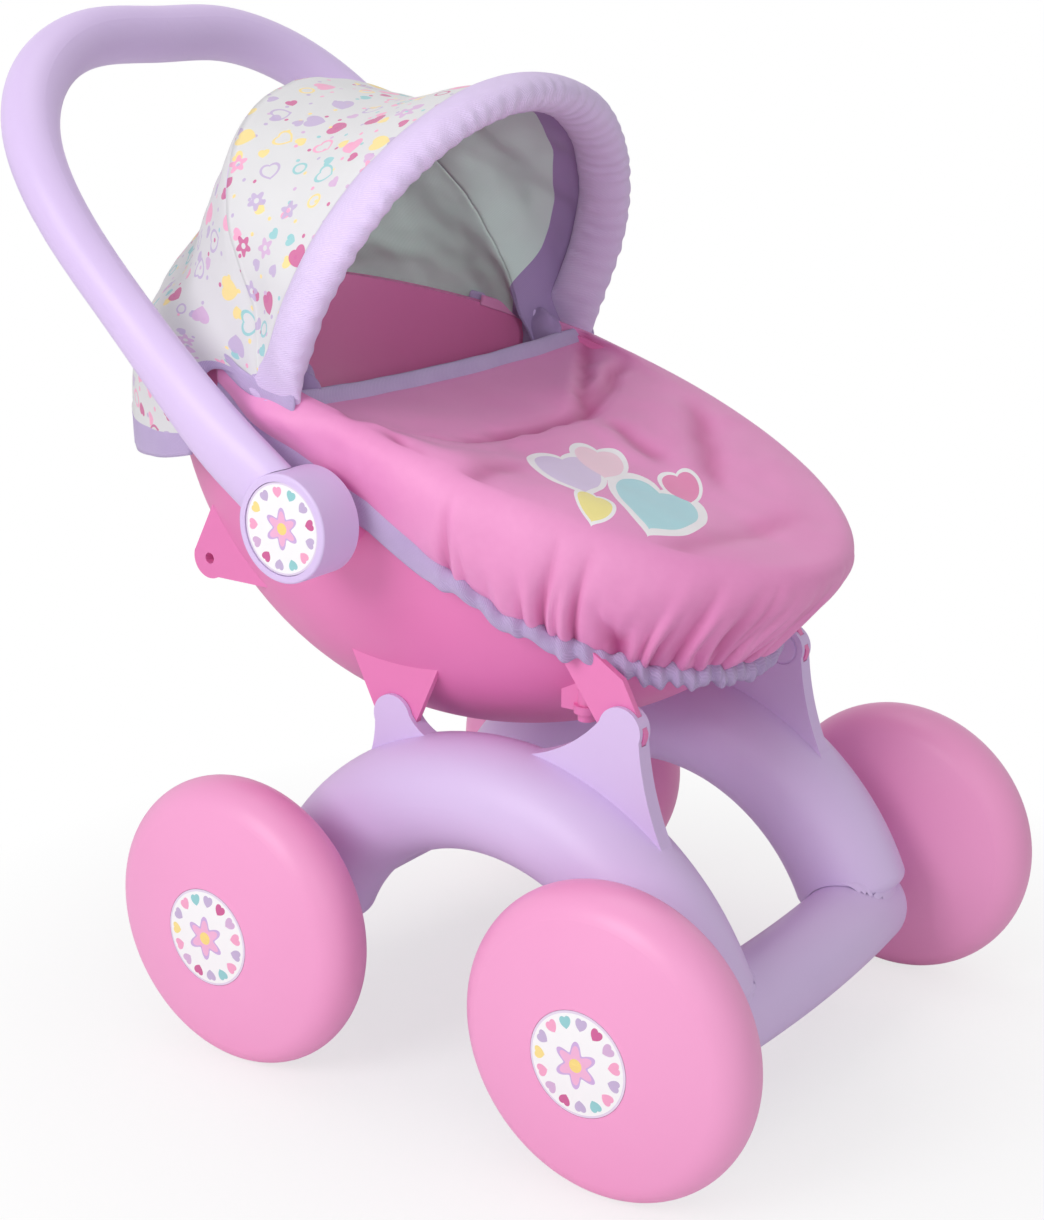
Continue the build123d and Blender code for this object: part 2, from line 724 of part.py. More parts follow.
def hoop(arch, lean):
    """Wire hoop whose ends are flattened into eyes on the canopy pins."""
    half_width = arch[0]
    wire = hoop_tube(arch, lean, 0, hoop_wire_diameter / 2)
    eye = rod_x(
        canopy_axis,
        hoop_eye_diameter / 2,
        half_width - hoop_eye_thickness / 2,
        half_width + hoop_eye_thickness / 2,
    )
    bore = rod_x(canopy_axis, hoop_pin_diameter / 2 + running_clearance, -reach, reach)
    flat_start = half_width - hoop_wire_diameter
    flat_end = half_width + hoop_wire_diameter
    flat = rod_x(canopy_axis, hoop_eye_diameter / 2, flat_start, flat_end)
    wire -= flat
    wire -= mirrored(flat)
    return wire + eye + mirrored(eye) - bore


def cover_section(lean, shift, arch, start):
    """Section of the cover: a strip between an arch and the same arch one thickness inside it."""
    half_width, height, leg, corner = arch
    inner = (half_width - cover_thickness, height - cover_thickness, leg, corner - cover_thickness)
    edges = arch_edges(*arch, start) + arch_edges(*inner, start)
    edges.append(Line((half_width, start), (inner[0], start)))
    edges.append(Line((-half_width, start), (-inner[0], start)))
    return hoop_plane(lean, shift) * make_face(edges)


def grown(arch, amount):
    """An arch moved outward by an amount all round."""
    half_width, height, leg, corner = arch
    return half_width + amount, height + amount, leg, corner + amount


def make_cover():
    """Front panel between the hoops, and rear panel from the rear hoop down to the hem."""
    behind_sleeve = sleeve_diameter / 2 + soft_clearance
    before_wire = -hoop_wire_diameter / 2 - cover_thickness
    valley_edge = cover_side_edge + cover_thickness
    front_edge = cover_side_edge + 2 * cover_thickness
    front_arch = grown(front_hoop_arch, cover_front_growth)
    seam_arch = grown(rear_hoop_arch, hoop_wire_diameter / 2 + soft_clearance + cover_thickness)
    front_panel = loft(
        [
            cover_section(front_hoop_lean, behind_sleeve, front_arch, front_edge),
            cover_section(cover_valley_lean, cover_thickness, cover_valley_arch, valley_edge),
            cover_section(rear_hoop_lean, before_wire, seam_arch, cover_side_edge),
        ]
    )
    rear_panel = loft(
        [
            cover_section(rear_hoop_lean, before_wire + soft_clearance, seam_arch, cover_side_edge),
            cover_section(cover_back_lean, 0, cover_back_arch, cover_side_edge),
            cover_section(cover_skirt_lean, 0, cover_skirt_arch, cover_skirt_edge),
            cover_section(cover_hem_lean, 0, cover_hem_arch, cover_hem_edge),
        ]
    )
    save("canopy_front_panel", front_panel)
    save("canopy_rear_panel", rear_panel)


def make_canopy():
    save("canopy_front_hoop", hoop(front_hoop_arch, front_hoop_lean))
    save("canopy_rear_hoop", hoop(rear_hoop_arch, rear_hoop_lean))
    lining = hoop_wire_diameter / 2 + soft_clearance
    sleeve = hoop_tube(front_hoop_arch, front_hoop_lean, sleeve_start, sleeve_diameter / 2, lining)
    save("canopy_sleeve", sleeve)
    pin_start = rear_hoop_half_width - hoop_eye_thickness / 2 - hoop_pin_margin
    pin_end = front_hoop_half_width + hoop_eye_thickness / 2 + hoop_pin_margin
    pin = rod_x(canopy_axis, hoop_pin_diameter / 2, pin_start, pin_end)
    save("canopy_pins", pin, mirrored(pin))


os.makedirs("parts", exist_ok=True)
make_wheels()
make_axles()
make_chassis()
save("seat_bowl", seat_bowl())
save("apron_cover", apron_cover())
save("push_handle", push_handle())
make_hubs()
make_canopy()
make_cover()
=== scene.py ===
import bmesh
import bpy
from functools import lru_cache
from math import atan2, cos, exp, pi, radians, sin, sqrt
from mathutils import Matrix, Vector, noise
from mathutils.bvhtree import BVHTree


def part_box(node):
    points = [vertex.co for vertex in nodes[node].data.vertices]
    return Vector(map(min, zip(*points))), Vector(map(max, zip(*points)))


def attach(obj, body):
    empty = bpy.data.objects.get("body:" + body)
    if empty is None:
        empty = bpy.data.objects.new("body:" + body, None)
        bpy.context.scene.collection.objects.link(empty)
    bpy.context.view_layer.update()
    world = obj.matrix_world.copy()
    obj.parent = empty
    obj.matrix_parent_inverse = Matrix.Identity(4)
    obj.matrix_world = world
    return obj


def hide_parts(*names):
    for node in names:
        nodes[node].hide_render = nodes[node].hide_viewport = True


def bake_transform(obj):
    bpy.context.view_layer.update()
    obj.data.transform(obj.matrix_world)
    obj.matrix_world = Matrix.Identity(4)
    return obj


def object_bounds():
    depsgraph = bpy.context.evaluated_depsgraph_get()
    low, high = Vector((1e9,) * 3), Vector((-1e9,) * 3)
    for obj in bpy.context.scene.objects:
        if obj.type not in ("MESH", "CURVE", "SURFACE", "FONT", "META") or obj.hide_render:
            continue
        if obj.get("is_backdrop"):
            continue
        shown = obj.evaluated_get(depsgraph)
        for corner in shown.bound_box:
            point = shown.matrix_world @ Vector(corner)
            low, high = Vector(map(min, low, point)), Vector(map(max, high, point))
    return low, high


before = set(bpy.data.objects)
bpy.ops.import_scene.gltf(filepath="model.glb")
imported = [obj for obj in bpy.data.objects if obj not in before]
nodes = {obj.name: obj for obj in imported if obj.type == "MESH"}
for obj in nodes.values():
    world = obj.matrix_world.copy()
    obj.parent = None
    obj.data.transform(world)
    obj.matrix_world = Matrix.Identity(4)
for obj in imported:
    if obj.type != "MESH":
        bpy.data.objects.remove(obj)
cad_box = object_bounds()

# Doll stroller in metres, front towards -Y.
MM = 0.001


# Shader values

class Shade:
    """A value in a material's node tree, which Python expressions can work with."""

    def __init__(self, tree, socket=None):
        self.tree = tree
        self.socket = socket

    def node(self, kind, sockets=None, out=0, stops=None, **settings):
        """One output of a new node, with its settings and ramp stops made before its sockets are filled."""
        made = self.tree.nodes.new("ShaderNode" + kind)
        for key, value in settings.items():
            setattr(made, key, value)
        if stops:
            ramp = made.color_ramp
            ramp.interpolation = "CONSTANT"
            while len(ramp.elements) < len(stops):
                ramp.elements.new(1.0)
            for element, (place, ink) in zip(ramp.elements, stops):
                element.position = place
                element.color = ink
        for key, value in (sockets or {}).items():
            if isinstance(value, Shade):
                self.tree.links.new(value.socket, made.inputs[key])
            else:
                made.inputs[key].default_value = value
        return Shade(self.tree, made.outputs[out])

    def math(self, operation, *others):
        """The result of a Math node on this value and others."""
        return self.node("Math", dict(enumerate((self, *others))), operation=operation)

    def __add__(self, other):
        return self.math("ADD", other)

    def __sub__(self, other):
        return self.math("SUBTRACT", other)

    def __mul__(self, other):
        return self.math("MULTIPLY", other)

    def __truediv__(self, other):
        return self.math("DIVIDE", other)

    def __pow__(self, other):
        return self.math("POWER", other)

    def __lt__(self, other):
        return self.math("LESS_THAN", other)

    def __gt__(self, other):
        return self.math("GREATER_THAN", other)

    def __rsub__(self, other):
        return self.node("Math", {0: other, 1: self}, operation="SUBTRACT")

    def __rtruediv__(self, other):
        return self.node("Math", {0: other, 1: self}, operation="DIVIDE")

    __radd__ = __add__
    __rmul__ = __mul__

    def mixed(self, first, second):
        """Colour between first and second, by this value."""
        return self.node("Mix", {0: self, 6: first, 7: second}, out=2, data_type="RGBA")

    def parts(self):
        """The three components of a vector or colour."""
        split = self.node("SeparateXYZ", {0: self}).socket.node
        return [Shade(self.tree, output) for output in split.outputs]


def colour(red, green, blue):
    """Linear colour of a screen colour given from 0 to 255."""
    levels = []
    for value in (red, green, blue):
        share = value / 255
        levels.append(share / 12.92 if share <= 0.04045 else ((share + 0.055) / 1.055) ** 2.4)
    return (*levels, 1.0)


def new_material(name):
    """A material with its shader, and a Shade to build its values from."""
    material = bpy.data.materials.new(name)
    material.use_nodes = True
    return material, Shade(material.node_tree)


def dress(material, fixed, varying, relief=None, strength=0.3, depth=0.3):
    """Set the shader's plain values, link the varying ones, and press a relief into the surface."""
    tree = material.node_tree
    shader = next(node for node in tree.nodes if node.type == "BSDF_PRINCIPLED")
    for key, value in fixed.items():
        shader.inputs[key].default_value = value
    if relief is not None:
        bump = relief.node("Bump", {"Strength": strength, "Distance": depth * MM, "Height": relief})
        varying = {**varying, "Normal": bump}
    for key, value in varying.items():
        tree.links.new(value.socket, shader.inputs[key])
    return material


def object_place(paint):
    """Place on a piece in metres."""
    return paint.node("TexCoord", out=3)


def cloth_place(paint):
    """Place on a cloth laid flat, in metres."""
    return paint.node("UVMap", uv_map="cloth")


def speckle(paint, place, scale, detail=2.0):
    """Noise from 0 to 1 with about a scale of specks to the metre."""
    return paint.node("TexNoise", {"Vector": place, "Scale": scale, "Detail": detail})


def moulded_plastic(name, tone, shade, roughness):
    """Satin moulded plastic: faint clouding, fine moulding texture, slightly uneven gloss."""
    material, paint = new_material(name)
    place = object_place(paint)
    cloud = speckle(paint, place, 9.0)
    grain = speckle(paint, place, 900.0)
    gloss = speckle(paint, place, 45.0, 4.0)
    base = cloud.mixed(shade, tone)
    varying = {"Base Color": base, "Roughness": gloss * 0.12 + (roughness - 0.06)}
    return dress(material, {"Specular IOR Level": 0.45}, varying, grain, 0.12, 0.15)


def woven(place, pitch):
    """Height of a plain weave with threads a pitch in millimetres apart."""
    across, along, _ = place.parts()
    wave = 2 * pi / (pitch * MM)
    return (across * wave).math("SINE") * (along * wave).math("SINE")


def twill(place, pitch):
    """Height of slanting twill ribs a pitch in millimetres apart, crossed by finer threads."""
    across, along, _ = place.parts()
    wave = 2 * pi / (pitch * MM)
    ribs = ((across + along * 0.6) * wave).math("SINE")
    threads = ((across * 0.6 - along) * (2.5 * wave)).math("SINE")
    return ribs + threads * 0.35


def twill_tape(name, tone, shade):
    """Twill with lighter ribs and a faint clouding."""
    material, paint = new_material(name)
    place = cloth_place(paint)
    ribs = twill(place, 1.1)
    cloud = speckle(paint, object_place(paint), 60.0)
    base = (ribs * 0.22 + cloud * 0.5 + 0.25).mixed(shade, tone)
    return dress(material, {"Roughness": 0.85, "Sheen Weight": 0.25}, {"Base Color": base}, ribs, 0.5, 0.25)


def heart(across, up):
    """1 inside a heart about one unit in radius, 0 outside."""
    spread = across * across
    round_part = spread + up * up - 1.0
    return (round_part * round_part * round_part - spread * up * up * up) < 0.0


# Print on the apron: middle, direction across it as the camera sees it, stretch along the view, and the
# least height that takes print
PRINT_MIDDLE = (-42.0, -45.0)
PRINT_ACROSS = (0.58, -0.81)
PRINT_STRETCH = 1.8
PRINT_FOOT = 265.0

# Hearts on the apron: place on the print in millimetres, radius, turn in radians, colour
APRON_HEARTS = [
    (15.0, -6.0, 17.0, -0.25, colour(178, 224, 232)),
    (-22.0, 2.0, 14.0, 0.35, colour(226, 208, 239)),
    (-8.0, 20.0, 10.5, 0.1, colour(252, 216, 230)),
    (-14.0, -20.0, 7.0, -0.2, colour(250, 236, 150)),
    (32.0, 17.0, 8.0, 0.3, colour(236, 140, 186)),
]


def satin_cloth(name, tone, shade, fold_shade_tone, hearts):
    """Satin weave, darkened in its folds as painted shade, with a cluster of white-edged hearts printed on
    it.
    """
    material, paint = new_material(name)
    place = cloth_place(paint)
    weave = woven(place, 0.7)
    cloud = speckle(paint, object_place(paint), 14.0)
    slub = speckle(paint, object_place(paint), 220.0)
    base = (cloud * 0.8 + slub * 0.25 - 0.02).mixed(shade, tone)
    # Painted shade: the colour darkens toward the shade tone where the cloth lies deep in a fold or gather
    painted_fold_shade = paint.node("Attribute", out=2, attribute_name="painted_fold_shade")
    base = (painted_fold_shade * 0.85).mixed(base, fold_shade_tone)
    across, along, height = object_place(paint).parts()
    on_top = height > PRINT_FOOT * MM
    across, along = across / MM - PRINT_MIDDLE[0], along / MM - PRINT_MIDDLE[1]
    print_x = across * PRINT_ACROSS[0] + along * PRINT_ACROSS[1]
    print_y = (along * PRINT_ACROSS[0] - across * PRINT_ACROSS[1]) / PRINT_STRETCH
    edging = colour(250, 246, 249)
    fills = []
    for x, y, radius, turn, ink in hearts:
        side = (print_x - x) / radius
        front = (print_y - y) / radius
        right = side * cos(turn) + front * sin(turn)
        up = front * cos(turn) - side * sin(turn)
        base = (heart(right * 0.82, up * 0.82 + 0.02) * on_top).mixed(base, edging)
        fills.append((heart(right, up) * on_top, ink))
    for inside, ink in fills:
        base = inside.mixed(base, ink)
    varying = {"Base Color": base, "Roughness": slub * 0.2 + 0.42}
    return dress(material, {"Sheen Weight": 0.1, "Sheen Roughness": 0.4}, varying, weave, 0.25, 0.12)


# Width of the lilac band on the lining, from the front hoop's plane
LINING_BAND = 27.0


def lining_cloth(name, tone, shade):
    """Plain weave with a lilac band along the front edge, by the distance behind the front hoop; the band's
    lilac is darkened as painted shade.
    """
    material, paint = new_material(name)
    place = cloth_place(paint)
    weave = woven(place, 0.9)
    cloud = speckle(paint, object_place(paint), 22.0)
    base = (cloud * 0.9 + weave * 0.08).mixed(shade, tone)
    behind = paint.node("Attribute", out=2, attribute_name="behind")
    # The band is lilac cloth in a darker lilac that paints its shade inside the hood
    band_with_painted_shade = (cloud * 0.9).mixed(colour(158, 134, 180), colour(176, 152, 198))
    base = (behind < LINING_BAND).mixed(base, band_with_painted_shade)
    return dress(material, {"Roughness": 0.9, "Sheen Weight": 0.2}, {"Base Color": base}, weave, 0.3, 0.15)


def blossom(across, up, petals):
    """1 inside a flower about one unit in radius."""
    turn = across.node("Math", {0: across, 1: up}, operation="ARCTAN2")
    distance = (across * across + up * up) ** 0.5
    return distance < ((turn * petals).math("COSINE") * 0.22 + 0.78)


# Inks of the prints, each with the share of the marks from which it is used
PRINT_COLOURS = [
    (0.0, colour(196, 176, 212)),
    (0.24, colour(244, 164, 200)),
    (0.46, colour(206, 92, 150)),
    (0.58, colour(248, 222, 140)),
    (0.74, colour(146, 204, 208)),
    (0.88, colour(214, 176, 214)),
]

# Marks of the hood's print: form, cells to the metre, radius
PRINT_MARKS = [("dot", 110.0, 1.2), ("heart", 70.0, 2.7), ("motif", 47.0, 6.6)]


def printed_cloth(name, ground):
    """Off-white cloth with scattered hearts, blossoms, rings and dots."""
    material, paint = new_material(name)
    place = cloth_place(paint)
    look = ground
    for form, scale, size in PRINT_MARKS:
        cell = {"Vector": place, "Scale": scale, "Randomness": 0.5}
        spot = paint.node("TexVoronoi", cell, out=2, voronoi_dimensions="2D")
        chance = paint.node("TexVoronoi", cell, out=1, voronoi_dimensions="2D")
        offset = paint.node("VectorMath", {0: place, 1: spot}, operation="SUBTRACT")
        pick, hue, tilt = chance.parts()
        turned = paint.node(
            "VectorRotate", {"Vector": offset, "Angle": (tilt - 0.5) * 2.4}, rotation_type="Z_AXIS"
        )
        across, up, _ = turned.parts()
        across = across / (size * MM)
        up = up / (size * MM)
        distance = (across * across + up * up) ** 0.5
        if form == "dot":
            mark = (distance < 0.9) * (pick > 0.45)
        elif form == "heart":
            mark = heart(across, up) * (pick > 0.4)
        else:
            filled = heart(across * 1.35, up * 1.35)
            hollow = filled - heart(across * 1.8, up * 1.8 - 0.04)
            ring = (distance < 0.62) - (distance < 0.42)
            flower = blossom(across * 1.2, up * 1.2, 5) - (distance < 0.22)
            mark = filled * (pick < 0.3) + hollow * ((pick > 0.3) - (pick > 0.55))
            mark = mark + flower * ((pick > 0.55) - (pick > 0.78)) + ring * (pick > 0.78)
        ink = paint.node("ValToRGB", {0: hue}, stops=PRINT_COLOURS)
        look = (mark * 0.9).mixed(look, ink)
    weave = woven(place, 0.8)
    return dress(material, {"Roughness": 0.85, "Sheen Weight": 0.2}, {"Base Color": look}, weave, 0.3, 0.15)


# Sticker, in shares of its radius: radius of a heart, distance of the hearts from the middle, inside of the
# edge line, radii of the flower's outline, its petals and its middle
STICKER_HEART = 0.105
STICKER_RING = 0.77
STICKER_EDGE = 0.955
FLOWER_OUTLINE = 0.46
FLOWER_PETALS = 0.38
FLOWER_MIDDLE = 0.13


def sticker(name, badge, hearts):
    """White disc with a ring of hearts about a flower, drawn to fit the box of a badge."""
    material, paint = new_material(name)
    low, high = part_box(badge)
    radius = (high[1] - low[1]) / 2
    _, along, height = object_place(paint).parts()
    across = (along - (low[1] + high[1]) / 2) / radius
    up = (height - (low[2] + high[2]) / 2) / radius
    distance = (across * across + up * up) ** 0.5
    turn = paint.node("Math", {0: up, 1: across}, operation="ARCTAN2") / (2 * pi) + 0.5
    slot = (turn * hearts).math("FLOOR")
    inner = (turn * hearts - slot - 0.5) * (2 * pi / hearts)
    beside = inner.math("SINE") * distance / STICKER_HEART
    out = (inner.math("COSINE") * distance - STICKER_RING) / STICKER_HEART
    hue = (slot * 0.381).math("FRACT")
    ink = paint.node("ValToRGB", {0: hue}, stops=PRINT_COLOURS)
    look = heart(beside, out).mixed(colour(246, 244, 246), ink)
    look = ((distance > STICKER_EDGE) * 0.6).mixed(look, colour(214, 190, 226))
    outline = blossom(across / FLOWER_OUTLINE, up / FLOWER_OUTLINE, 6)
    look = outline.mixed(look, colour(206, 172, 222))
    petals = blossom(across / FLOWER_PETALS, up / FLOWER_PETALS, 6)
    look = petals.mixed(look, colour(240, 178, 214))
    look = (distance < FLOWER_MIDDLE).mixed(look, colour(247, 216, 128))
    gloss = speckle(paint, object_place(paint), 120.0)
    return dress(material, {"Coat Weight": 0.2}, {"Base Color": look, "Roughness": gloss * 0.1 + 0.3})


def plated_steel(name):
    """Plated steel with a brushed gloss."""
    material, paint = new_material(name)
    place = object_place(paint)
    brushed = speckle(paint, place, 300.0, 4.0)
    base = brushed.mixed(colour(150, 150, 158), colour(205, 205, 210))
    varying = {"Base Color": base, "Roughness": brushed * 0.2 + 0.25}
    return dress(material, {"Metallic": 1.0}, varying, brushed, 0.05, 0.1)


lilac_plastic = moulded_plastic("lilac_plastic", colour(225, 203, 243), colour(215, 192, 236), 0.42)
wheel_plastic = moulded_plastic("wheel_plastic", colour(246, 166, 211), colour(241, 156, 204), 0.4)
bowl_plastic = moulded_plastic("bowl_plastic", colour(239, 135, 193), colour(232, 125, 185), 0.42)
pivot_plastic = moulded_plastic("pivot_plastic", colour(236, 234, 238), colour(226, 224, 230), 0.4)
axle_steel = plated_steel("axle_steel")
sleeve_twill = twill_tape("sleeve_twill", colour(233, 213, 249), colour(216, 195, 237))
trim_tape = twill_tape("trim_tape", colour(208, 188, 229), colour(178, 156, 203))
# The third colour is the painted shade that darkens the apron's folds
apron_satin = satin_cloth(
    "apron_satin", colour(243, 163, 212), colour(228, 134, 192), colour(184, 66, 132), APRON_HEARTS
)
hood_lining = lining_cloth("hood_lining", colour(222, 240, 233), colour(206, 226, 219))
hood_print = printed_cloth("hood_print", colour(220, 219, 221))


# Dressing of the moulded and metal pieces


def paint_node(name, material):
    """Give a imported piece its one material."""
    nodes[name].data.materials.clear()
    nodes[name].data.materials.append(material)


for side in ("left", "right"):
    paint_node("side_arch_" + side, lilac_plastic)
    paint_node("hub_drum_" + side, lilac_plastic)
    paint_node("hub_cap_" + side, lilac_plastic)
    paint_node("hub_pivot_" + side, pivot_plastic)
    for end in ("front", "rear"):
        paint_node(f"wheel_{end}_{side}", wheel_plastic)
for name in ("front_crossbar", "rear_crossbar", "push_handle"):
    paint_node(name, lilac_plastic)
for name in ("canopy_front_hoop", "canopy_rear_hoop", "canopy_pins"):
    paint_node(name, lilac_plastic)
for name in ("axle_stubs", "axle_washers", "axle_retainers", "bowl_pins"):
    paint_node(name, axle_steel)
paint_node("seat_bowl", bowl_plastic)

front_sticker = sticker("front_wheel_sticker", "wheel_badge_front_right", 15)
rear_sticker = sticker("rear_wheel_sticker", "wheel_badge_rear_right", 15)
hub_sticker = sticker("hub_sticker", "hub_badge_right", 13)
for side in ("left", "right"):
    paint_node("wheel_badge_front_" + side, front_sticker)
    paint_node("wheel_badge_rear_" + side, rear_sticker)
    paint_node("hub_badge_" + side, hub_sticker)


# Shapes

def ease(share):
    """Smooth step from 0 to 1."""
    share = min(max(share, 0.0), 1.0)
    return share * share * (3 - 2 * share)


def between(first, second, share):
    """Value at a share of the way from first to second."""
    return first + (second - first) * share


def bezier(start, leave, arrive, end, share):
    """Point of a curve with two guides."""
    rest = 1 - share
    return (
        start * rest**3
        + leave * (3 * rest * rest * share)
        + arrive * (3 * rest * share * share)
        + end * share**3
    )


def ripple(x, y, z=0.0):
    """Smooth unevenness about 0, with one swell to a unit."""
    return noise.noise(Vector((x, y, z)))


def arch_point(arch, share):
    """Point (x, height) of a three-arc arch: share -1 at the right foot, 0 at the crown, 1 at the left."""
    half_width, height, leg, corner, foot = arch
    span = half_width - corner
    rise = height - leg
    crown = (span**2 + rise**2 - corner**2) / (2 * (rise - corner))
    meet = atan2(leg - height + crown, span)
    straight = leg - foot
    bend = corner * meet
    run = (1 - abs(share)) * (straight + bend + crown * (pi / 2 - meet))
    side = 1 if share >= 0 else -1
    if run < straight:
        return side * half_width, foot + run
    if run < straight + bend:
        turn = (run - straight) / corner
        return side * (span + corner * cos(turn)), leg + corner * sin(turn)
    turn = meet + (run - straight - bend) / crown
    return side * crown * cos(turn), height - crown + crown * sin(turn)


# Hood's pins (y, z), and the leans of its hoops in degrees
CANOPY_AXIS = (101.0, 334.0)
FRONT_LEAN = -23.6
REAR_LEAN = 27.0

# An arch is its half width, height, leg, corner radius and lower edge, measured up from the pins
FRONT_HOOP = (121.0, 154.0, 41.0, 100.0, -3.0)

# Hood's arches at their leans
HOOD = [
    (FRONT_LEAN, (122.0, 157.0, 42.0, 101.0, 3.0)),
    (3.0, (116.0, 136.0, 44.0, 74.0, 3.0)),
    (18.0, (110.0, 147.0, 54.0, 82.0, 4.0)),
    (REAR_LEAN, (107.5, 161.0, 60.0, 90.0, 5.0)),
    (38.0, (107.5, 151.0, 48.0, 94.0, 7.0)),
    (50.0, (108.0, 147.0, 43.0, 94.0, 9.0)),
    (62.0, (111.0, 150.0, 44.0, 96.0, 20.0)),
    (76.0, (114.0, 164.0, 55.0, 98.0, 46.0)),
    (104.0, (115.0, 168.0, 66.0, 92.0, 58.0)),
    (121.0, (116.5, 171.0, 74.0, 90.0, 68.0)),
]


@lru_cache(None)
def hood_arch(lean):
    """The hood's arch at a lean, eased from station to station."""
    index = max(i for i in range(len(HOOD) - 1) if HOOD[i][0] <= lean + 1e-6)
    start, end = HOOD[index][0], HOOD[index + 1][0]
    before, after = max(index - 1, 0), min(index + 2, len(HOOD) - 1)
    share = (lean - start) / (end - start)
    values = []
    for part in range(len(FRONT_HOOP)):
        first, second = HOOD[index][1][part], HOOD[index + 1][1][part]
        leave = (second - HOOD[before][1][part]) / (end - HOOD[before][0]) * (end - start)
        arrive = (HOOD[after][1][part] - first) / (HOOD[after][0] - start) * (end - start)
        cubic, square = share**3, share**2
        values.append(
            first * (2 * cubic - 3 * square + 1)
            + leave * (cubic - 2 * square + share)
            + second * (3 * square - 2 * cubic)
            + arrive * (cubic - square)
        )
    return tuple(values)


def hoop_place(x, height, lean, shift=0.0):
    """Point of a hoop's plane, or a shift behind it."""
    turn = radians(lean)
    y = CANOPY_AXIS[0] + height * sin(turn) + shift * cos(turn)
    z = CANOPY_AXIS[1] + height * cos(turn) - shift * sin(turn)
    return Vector((x, y, z))


# Where the hood is drawn in above the tub's rear corners: depth, and the lean and share at its middle
CORNER_TUCK = 11.0
CORNER_LEAN = 67.0
CORNER_SHARE = 0.4

# The hood is flared from this height above its pins downwards, over this much of it
FLARE_TOP = 52.0
FLARE_DROP = 40.0


def hood_point(share, lean, lift, crumple, flare=0.0):
    """Point of the hood's cloth, lifted off its middle surface, uneven, drawn in above the tub's
    rear corners and flared to a half width at its foot."""
    x, height = arch_point(hood_arch(lean), share)
    if flare:
        foot = ease((FLARE_TOP - height) / FLARE_DROP)
        x += (flare - abs(x)) * foot * (1 if x > 0 else -1)
    spot = hoop_place(x, height, lean)
    broad = ripple(spot.x / 34, spot.y / 22, spot.z / 34)
    slack = broad + 0.4 * ripple(spot.x / 12, spot.y / 12, spot.z / 12)
    axis = hoop_place(0.0, 0.0, lean)
    outward = Vector((x, 0.0, 0.0)) / 118 + hoop_place(0.0, height / 160, lean) - axis
    along, across = (lean - CORNER_LEAN) / 15, (abs(share) - CORNER_SHARE) / 0.2
    tuck = CORNER_TUCK * exp(-(along**2) - across**2)
    return spot + outward.normalized() * (lift - tuck + crumple * slack)


def object_from(name, mesh_form, materials):
    """A piece at the origin with its place in its mesh."""
    mesh = bpy.data.meshes.new(name)
    mesh_form.to_mesh(mesh)
    mesh_form.free()
    piece = bpy.data.objects.new(name, mesh)
    bpy.context.scene.collection.objects.link(piece)
    for material in materials:
        mesh.materials.append(material)
    return piece


def cloth_piece(name, across, along, place, materials, wrap=False):
    """A cloth grid whose points go where place(u, v) says in millimetres, with UVs in metres. A wrapped
    one is closed along its seam."""
    mesh_form = bmesh.new()
    bmesh.ops.create_grid(mesh_form, x_segments=across, y_segments=along, size=0.5)
    spots = {}
    for vert in mesh_form.verts:
        key = (round((vert.co.x + 0.5) * across), round((vert.co.y + 0.5) * along))
        spots[vert] = key
    table = {key: place(key[0] / across, key[1] / along) for key in spots.values()}
    middle = along // 2
    run_across = {0: 0.0}
    for i in range(1, across + 1):
        run_across[i] = run_across[i - 1] + (table[i, middle] - table[i - 1, middle]).length
    run_along = {}
    for i in range(across + 1):
        lengths = [0.0]
        for j in range(1, along + 1):
            lengths.append(lengths[-1] + (table[i, j] - table[i, j - 1]).length)
        for j in range(along + 1):
            run_along[i, j] = lengths[j] - lengths[-1] / 2
    uv = mesh_form.loops.layers.uv.new("cloth")
    for face in mesh_form.faces:
        for loop in face.loops:
            i, j = spots[loop.vert]
            loop[uv].uv = (run_across[i] * MM, run_along[i, j] * MM)
        face.smooth = True
    for vert, key in spots.items():
        vert.co = table[key] * MM
    if wrap:
        bmesh.ops.remove_doubles(mesh_form, verts=mesh_form.verts, dist=1e-6)
    bmesh.ops.recalc_face_normals(mesh_form, faces=mesh_form.faces)
    return object_from(name, mesh_form, materials)


def both_sides(name, across, along, place, material):
    """A closed piece on the left, and its mirror image on the right."""

    def mirrored(u, v):
        spot = place(u, v)
        return Vector((-spot.x, spot.y, spot.z))

    return [
        cloth_piece(name + "_left", across, along, place, [material], wrap=True),
        cloth_piece(name + "_right", across, along, mirrored, [material], wrap=True),
    ]


def settle(piece):
    """Make a piece's modifiers part of its mesh."""
    graph = bpy.context.evaluated_depsgraph_get()
    mesh = bpy.data.meshes.new_from_object(piece.evaluated_get(graph))
    piece.modifiers.clear()
    piece.data = mesh


def thicken(piece, thickness):
    """Give a sheet its thickness, inward."""
    wall = piece.modifiers.new("wall", "SOLIDIFY")
    wall.thickness = thickness * MM
    wall.offset = -1.0
    settle(piece)


def face_out(piece, centre):
    """Turn a piece's faces away from a point."""
    mesh_form = bmesh.new()
    mesh_form.from_mesh(piece.data)
    total = sum(face.normal.dot(face.calc_center_median() - centre) for face in mesh_form.faces)
    if total < 0:
        bmesh.ops.reverse_faces(mesh_form, faces=mesh_form.faces)
    mesh_form.to_mesh(piece.data)
    mesh_form.free()


# Soft fills where the legs run into the crossbars

# Cells of the skin, its rounds of smoothing, and how far it stands proud where it is kept
FILL_CELL = 3.4
FILL_ROUNDS = 70
FILL_PROUD = 0.1

# Where the fills are, in each quarter: least and greatest distances from the middle, and heights
FILL_LOW = (45.0, 70.0, 30.0)
FILL_HIGH = (125.0, 160.0, 125.0)


def by_crease(place):
    """True where a leg meets a crossbar."""
    spread = (abs(place.x), abs(place.y), place.z)
    return all(low * MM < value < high * MM for low, value, high in zip(FILL_LOW, spread, FILL_HIGH))


